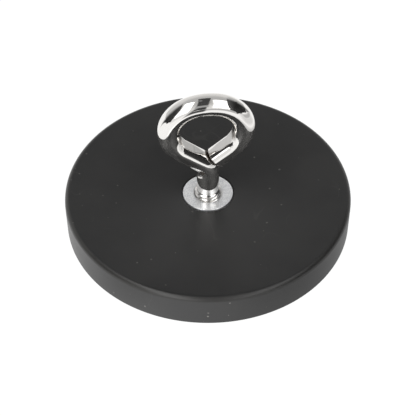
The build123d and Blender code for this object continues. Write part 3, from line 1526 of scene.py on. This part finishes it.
@dataclass
class RubberJacket:
    """The moulded jacket: a drafted disc, hollow where the plate, magnets and bush sit.

    A support is the width of the narrow face that keeps the shading even beside a rounding, and
    the parting is the thin groove between the rubber and the bush.
    """

    radius: float = 33.0 * MM
    draft: float = 0.35 * MM
    top: float = 8.5 * MM
    top_round: float = 1.25 * MM
    face_round: float = 0.4 * MM
    mould_clearance: float = 0.02 * MM
    plate_radius: float = 30.0 * MM
    plate_bottom: float = 5.0 * MM
    plate_top: float = 7.0 * MM
    magnet_bottom: float = 1.0 * MM
    magnet_radius: float = 5.0 * MM
    rings: tuple[tuple[int, float], ...] = ((6, 12.0 * MM), (12, 24.0 * MM))
    bush_radius: float = 5.85 * MM
    foot_radius: float = 6.75 * MM
    parting: float = 0.25 * MM
    parting_depth: float = 0.5 * MM
    support: float = 0.05 * MM
    steps: int = 288
    face_steps: int = 8
    top_steps: int = 16
    pocket_sides: int = 64
    sharp_over: float = 35.0
    finish: Finish = MouldedRubber()

    def build(self) -> bpy.types.Object:
        """Draws half the section, turns it and sinks the magnets' pockets.

        Returns:
            The finished jacket.
        """
        slope = math.atan2(self.draft, self.top)
        out = Vector((math.cos(slope), 0, -math.sin(slope)))
        face_centre = Vector((0, 0, self.face_round))
        face_centre.x = self.radius - self.draft + (-self.face_round - self.face_round * out.z) / out.x
        top_centre = Vector((0, 0, self.top - self.top_round))
        top_centre.x = self.radius + (-self.top_round + self.top_round * out.z) / out.x
        bench = Bench("moulded_jacket")
        bench.start_point(0, 0)
        bench.draw_through([(face_centre.x - self.support, 0), (face_centre.x, 0)])
        bench.sweep(face_centre, Turn.IN_THE_SIDE, math.pi / 2 - slope, self.face_steps)
        side = [face_centre + out * self.face_round, top_centre + out * self.top_round]
        up = (side[1] - side[0]).normalized() * self.support
        walls = [side[0] + up, side[1] - up, side[1]]
        bench.draw_through([(point.x, point.z) for point in walls])
        bench.sweep(top_centre, Turn.IN_THE_SIDE, math.pi / 2 + slope, self.top_steps)
        bench.draw_through(self.hollow_section(top_centre.x))
        bench.revolve(self.steps)
        jacket = bench.leave()
        self.sink_pockets(bench, self.pocket_cutter())
        bench.smooth(self.sharp_over)
        return jacket

    def hollow_section(self, rounding: float) -> list[tuple[float, float]]:
        """Works out the section of the flat top, the groove and the hollow.

        Args:
            rounding: How far from the axis the top's rounding starts.

        Returns:
            The distance from the axis and the height of each point, from the rounding on.
        """
        hole = self.bush_radius + self.mould_clearance
        foot = self.foot_radius + self.mould_clearance
        plate = self.plate_radius + self.mould_clearance
        return [
            (rounding - self.support, self.top),
            (hole + self.parting + self.support, self.top),
            (hole + self.parting, self.top - self.support / 2),
            (hole + self.parting, self.top - self.parting_depth),
            (hole, self.top - self.parting_depth),
            (hole, self.plate_top),
            (plate, self.plate_top),
            (plate, self.plate_bottom),
            (foot, self.plate_bottom),
            (foot, self.magnet_bottom),
            (0, self.magnet_bottom),
        ]

    def pocket_cutter(self) -> bpy.types.Object:
        """Makes one upright cylinder and copies it to every magnet's place.

        Returns:
            One object with a cylinder for each pocket.
        """
        reach = (self.plate_bottom + self.plate_top) / 2
        radius = self.magnet_radius + self.mould_clearance
        bench = Bench("pocket_cutter")
        bench.start_cylinder(radius, self.magnet_bottom, reach, self.pocket_sides)
        first = bench.leave()
        copies = []
        for count, pitch_radius in self.rings:
            for index in range(count):
                angle = FULL_TURN * index / count
                copy = bpy.data.objects.new("pocket", first.data.copy())
                bpy.context.collection.objects.link(copy)
                copy.location = (pitch_radius * math.cos(angle), pitch_radius * math.sin(angle), 0)
                copies.append(copy)
        bpy.data.objects.remove(first)
        clear_selection()
        for copy in copies:
            copy.select_set(True)
        bpy.context.view_layer.objects.active = copies[0]
        bpy.ops.object.join()
        bpy.ops.object.transform_apply(location=True, rotation=True, scale=True)
        return bpy.context.object

    def sink_pockets(self, bench: Bench, cutter: bpy.types.Object) -> None:
        """Cuts the pockets out of the floor of the hollow.

        Args:
            bench: The jacket.
            cutter: What is cut away, which is then thrown away.
        """
        clear_selection()
        bench.work.select_set(True)
        bpy.context.view_layer.objects.active = bench.work
        bench.apply("BOOLEAN", operation="DIFFERENCE", solver="EXACT", object=cutter)
        bpy.data.objects.remove(cutter)

    def dress(self, jacket: bpy.types.Object) -> None:
        """Gives the jacket its rubber and fixes it in place of its CAD node."""
        jacket.data.materials.append(self.finish.material())
        mount(jacket, Slot.RUBBER, "rubber_jacket")


# ------------------------------------------------------------------ inside parts


@dataclass
class InsideParts:
    """The back plate and the magnets, which keep their CAD shapes inside the rubber."""

    plate: Finish = StampedSteel()
    magnets: Finish = MagnetNickel()

    def dress(self) -> None:
        """Gives each kept node its finish."""
        finishes = {"back_plate": self.plate.material(), "magnet": self.magnets.material()}
        for name, node in sorted(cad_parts.items()):
            for key, material in finishes.items():
                if key in name:
                    for slot in node.material_slots:
                        slot.material = material
                    log.info("%s: %s", name, material.name)


# ------------------------------------------------------------------ studio


@dataclass(frozen=True)
class Panel:
    """A soft box, a dark flag or a grey card on the dome round the table.

    Its corners are degrees away from straight overhead, to the right and to the back. They go
    round from the near left one. Its glow is one for all of it or one for each corner, and each
    edge fades over a share of its width. What would lie below the table is drawn in to a share
    of the way down to it.
    """

    name: str
    corners: tuple[tuple[float, float], ...]
    glow: float | tuple[float, float, float, float]
    left: float = 0.0
    right: float = 0.0
    near: float = 0.0
    far: float = 0.0
    dome: float = 1.2
    sunk: float = 0.96
    centre: float = 22.0 * MM
    cells: int = 12

    def build(self) -> None:
        """Bends a flat grid onto the dome between the panel's corners, out of every camera's sight."""
        bench = Bench(self.name)
        bench.start_grid(self.cells)
        panel = bench.leave()
        for vertex in panel.data.vertices:
            vertex.co = self.spot((vertex.co.x + 1) / 2, (vertex.co.y + 1) / 2)
        panel.data.materials.append(self.material())
        panel.visible_camera = False

    def spot(self, across: float, along: float) -> Vector:
        """Finds a place on the panel.

        Args:
            across: The share of the way from its left to its right.
            along: The share of the way from its near edge to its far one.

        Returns:
            The place.
        """
        near_left, near_right, far_right, far_left = self.corners
        near = [(1 - across) * a + across * b for a, b in zip(near_left, near_right)]
        far = [(1 - across) * a + across * b for a, b in zip(far_left, far_right)]
        direction = self.direction(*((1 - along) * a + along * b for a, b in zip(near, far)))
        reach = self.dome
        if direction.z < 0:
            reach = min(reach, -self.sunk * self.centre / direction.z)
        return direction * reach + Vector((0, 0, self.centre))

    def direction(self, right: float, back: float) -> Vector:
        """Turns a corner's degrees into a direction.

        Args:
            right: The degrees from overhead to the right.
            back: The degrees from overhead to the back.

        Returns:
            The direction.
        """
        lean = math.radians(math.hypot(right, back))
        side = math.atan2(right, back)
        return Vector((math.sin(lean) * math.sin(side), math.sin(lean) * math.cos(side), math.cos(lean)))

    def material(self) -> bpy.types.Material:
        """A glow that fades at the soft edges.

        Returns:
            The panel's material.
        """
        made, recipe = empty_material(self.name)
        across, along, _ = recipe.split(recipe.add("ShaderNodeUVMap").outputs[0])
        strength: object = self.glow
        if isinstance(self.glow, tuple):
            near_left, near_right, far_right, far_left = self.glow
            near = recipe.between(across, 0.0, 1.0, near_left, near_right)
            far = recipe.between(across, 0.0, 1.0, far_left, far_right)
            strength = recipe.between(along, 0.0, 1.0, near, far)
        shown: object = 1.0
        for place, edge, inner in (
            (across, 0.0, self.left),
            (across, 1.0, 1.0 - self.right),
            (along, 0.0, self.near),
            (along, 1.0, 1.0 - self.far),
        ):
            if inner != edge:
                shown = recipe.product(shown, recipe.between(place, edge, inner, 0.0, 1.0))
        glow = recipe.add("ShaderNodeEmission")
        recipe.feed(glow.inputs["Strength"], strength)
        clear = recipe.add("ShaderNodeBsdfTransparent")
        fade = recipe.in_order(
            recipe.add("ShaderNodeMixShader"), (shown, clear.outputs[0], glow.outputs[0])
        )
        recipe.feed(recipe.add("ShaderNodeOutputMaterial").inputs["Surface"], fade.outputs[0])
        return made


@dataclass(frozen=True)
class RimStrip(Panel):
    """A panel along the table's edge, told by degrees round from the front and down from overhead."""

    dome: float = 0.5
    sunk: float = 0.97

    def direction(self, right: float, back: float) -> Vector:
        """The direction a number of degrees to the right of the front and below overhead."""
        side, lean = math.radians(right), math.radians(back)
        return Vector((math.sin(lean) * math.sin(side), -math.sin(lean) * math.cos(side), math.cos(lean)))


LEFT_BOX = 3.0
RIGHT_BOX = 2.2
PANELS = (
    Panel(
        "overhead_card", ((-34, -4), (40, -4), (52, 44), (-38, 44)),
        (0.5, 0.46, 0.5, 0.5), far=0.45, dome=1.3,
    ),
    Panel(
        "left_backdrop", ((-94, 8), (-34, 8), (-28, 62), (-68, 66)),
        0.6, left=0.05, right=0.3, far=0.25, dome=1.28,
    ),
    Panel(
        "right_backdrop", ((34, 8), (95, 6), (68, 66), (32, 66)),
        0.5, left=0.3, far=0.25, dome=1.28,
    ),
    Panel(
        "left_box_upper", ((-46, -30), (-17, -34), (-13, -2), (-36, 8)),
        LEFT_BOX, left=0.3, right=0.1,
    ),
    Panel(
        "left_box_lower", ((-62, -66), (-22, -82), (-17, -34), (-46, -30)),
        LEFT_BOX, left=0.25, right=0.1,
    ),
    Panel(
        "right_box_upper", ((14, -40), (46, -40), (44, -1), (13, -1)),
        RIGHT_BOX, left=0.15, right=0.1,
    ),
    Panel(
        "right_box_lower", ((12, -82), (48, -72), (46, -40), (14, -40)),
        RIGHT_BOX, left=0.15, right=0.1,
    ),
    Panel(
        "left_flag_low", ((-86, -42), (-67, -67), (-66, 34), (-104, 34)),
        (0.02, 0.035, 0.035, 0.02), far=0.42, dome=1.15,
    ),
    Panel(
        "left_flag_high", ((-67, -67), (-46, -30), (-33, 34), (-66, 34)),
        (0.03, 0.06, 0.06, 0.03), right=0.07, far=0.42, dome=1.15,
    ),
    Panel(
        "right_flag_high", ((43, -81), (57, -82), (64, 48), (38, 44)),
        (0.09, 0.02, 0.02, 0.08), left=0.05, near=0.03, far=0.26, dome=1.15,
    ),
    Panel(
        "right_flag_low", ((54, -82), (74, -56), (91, -14), (58, -14)),
        (0.03, 0.03, 0.02, 0.013), dome=1.17,
    ),
    Panel(
        "right_flag_side", ((58, -14), (91, -14), (93, 56), (60, 48)),
        (0.013, 0.025, 0.04, 0.02), far=0.58, dome=1.16,
    ),
    Panel(
        "middle_card", ((-14, -69), (10, -69), (9, -52), (-13, -46)),
        0.38, left=0.15, right=0.1, dome=1.15,
    ),
    Panel(
        "middle_flag", ((-11, -52), (8, -55), (13, 21), (-8, 21)),
        0.055, left=0.06, right=0.08, near=0.06, dome=1.12,
    ),
    Panel(
        "middle_streak", ((-8, -12), (-1, -12), (-1, 10), (-8, 10)),
        0.2, left=0.3, right=0.3, near=0.3, far=0.3, dome=1.1,
    ),
    Panel(
        "middle_low_flag", ((-28, -110), (9, -110), (7, -67), (-12, -68)),
        (0.09, 0.05, 0.05, 0.06), left=0.4, right=0.12, near=0.2, far=0.05, dome=1.12,
    ),
    RimStrip(
        "table_edge_left", ((-50, 99), (0, 99), (0, 90), (-50, 90)),
        0.84, left=0.2, near=0.3,
    ),
    RimStrip(
        "table_edge_right", ((0, 101), (36, 101), (42, 90), (0, 90)),
        0.48, right=0.2, near=0.3,
    ),
    RimStrip(
        "table_edge_side", ((50, 100), (112, 100), (112, 95), (50, 93)),
        0.5, left=0.15, right=0.2, near=0.3, far=0.1,
    ),
    RimStrip(
        "table_right", ((26, 112), (120, 112), (120, 93), (34, 93)),
        0.74, left=0.2, right=0.3, near=0.3, dome=0.6, sunk=0.98,
    ),
)


@dataclass
class Studio:
    """The white table, the pale room and the panels.

    The ramps over the table are in millimetres, and the one over the room is the upward part of
    a direction.
    """

    panels: tuple[Panel, ...] = PANELS
    floor_reach: float = 4.0
    floor_drop: float = 0.02 * MM
    floor_cells: int = 4
    floor_grey: Colour = (0.02, 0.02, 0.02, 1.0)
    floor_glow: float = 1.02
    glow_across: Ramp = Ramp(-12.0, 26.0, 1.4, 0.62)
    glow_far_left: Ramp = Ramp(-30.0, -16.0, 0.72, 1.0)
    glow_nearby: Ramp = Ramp(44.0, 56.0, 1.0, 0.0)
    room_colour: Colour = (1.0, 0.995, 0.985, 1.0)
    room_glow: Ramp = Ramp(0.3, 0.95, 0.78, 0.5)

    def build(self) -> None:
        """Sets the floor, the room and every panel."""
        self.lay_floor()
        self.light_room()
        for panel in self.panels:
            panel.build()
        bpy.context.scene.view_settings.view_transform = "Standard"
        log.info("studio: %d panels", len(self.panels))

    def lay_floor(self) -> None:
        """Lays a plain pale floor that glows a little, as a light table does."""
        bench = Bench("floor")
        bench.start_grid(self.floor_cells)
        floor = bench.leave()
        for vertex in floor.data.vertices:
            vertex.co = vertex.co * self.floor_reach
            vertex.co.z = -self.floor_drop
        made, recipe = empty_material("white_table")
        even = {
            "Base Color": self.floor_grey,
            "Specular IOR Level": 0.0,
            "Roughness": 1.0,
            "Emission Color": (1.0, 1.0, 1.0, 1.0),
        }
        shader = recipe.by_name(recipe.add("ShaderNodeBsdfPrincipled"), even)
        self.shade_floor(recipe, shader)
        recipe.feed(recipe.add("ShaderNodeOutputMaterial").inputs["Surface"], shader.outputs[0])
        floor.data.materials.append(made)

    def shade_floor(self, recipe: Recipe, shader: Node) -> None:
        """Gives the jacket's side a table that is brighter on its left; the camera sees it even.

        Args:
            recipe: The floor material's tree.
            shader: The floor's shader.
        """
        place = recipe.millimetres()
        right = recipe.split(place)[0]
        uneven = recipe.product(
            recipe.ramp(right, self.glow_across), recipe.ramp(right, self.glow_far_left)
        )
        nearby = recipe.ramp(recipe.measure("LENGTH", place), self.glow_nearby)
        seen = recipe.add("ShaderNodeLightPath").outputs["Is Camera Ray"]
        share = recipe.product(nearby, recipe.maths("SUBTRACT", 1.0, seen))
        change = recipe.product(share, recipe.maths("SUBTRACT", uneven, self.floor_glow))
        recipe.feed(shader.inputs["Emission Strength"], recipe.maths("ADD", change, self.floor_glow))

    def light_room(self) -> None:
        """Fills the room with pale light, a little darker overhead."""
        world = bpy.data.worlds.new("pale_room")
        world.use_nodes = True
        bpy.context.scene.world = world
        recipe = Recipe(world.node_tree)
        up = recipe.split(recipe.add("ShaderNodeTexCoord").outputs["Generated"])[2]
        light = {"Color": self.room_colour, "Strength": recipe.ramp(up, self.room_glow)}
        recipe.by_name(world.node_tree.nodes["Background"], light)


@dataclass
class Viewpoint:
    """The camera, told by where it stands round the object."""

    azimuth: float = -7.22
    elevation: float = 46.03
    distance: float = 527.9 * MM
    aim_height: float = 8.5 * MM
    aside: float = -0.024 * MM
    above: float = 3.576 * MM
    lens: float = 198.3
    sensor: float = 36.0
    clip_near: float = 10.0 * MM
    clip_far: float = 20.0

    def build(self) -> None:
        """Makes the camera and sets it as the scene's own."""
        side, lift = math.radians(self.azimuth), math.radians(self.elevation)
        right = Vector((math.cos(side), math.sin(side), 0))
        back = Vector((math.sin(side) * math.cos(lift), -math.cos(side) * math.cos(lift), math.sin(lift)))
        up = back.cross(right)
        clear_selection()
        bpy.ops.object.camera_add()
        camera = bpy.context.object
        camera.name = "camera"
        aim = Vector((0, 0, self.aim_height))
        camera.location = aim + back * self.distance - right * self.aside - up * self.above
        camera.rotation_mode = "QUATERNION"
        camera.rotation_quaternion = (-back).to_track_quat("-Z", "Y")
        camera.data.lens = self.lens
        camera.data.sensor_width = self.sensor
        camera.data.clip_start = self.clip_near
        camera.data.clip_end = self.clip_far
        bpy.context.scene.camera = camera
        log.info("camera: %.1f mm lens", self.lens)


# ------------------------------------------------------------------ making


def main() -> None:
    """Builds the object and its studio in order."""
    logging.basicConfig(level=logging.INFO, format="%(message)s")
    Viewpoint().build()
    Studio().build()
    for assembly in (RubberJacket(), ThreadedBush(), EyeBolt()):
        assembly.dress(assembly.build())
    InsideParts().dress()
    clear_selection()


if __name__ == "__main__":
    main()
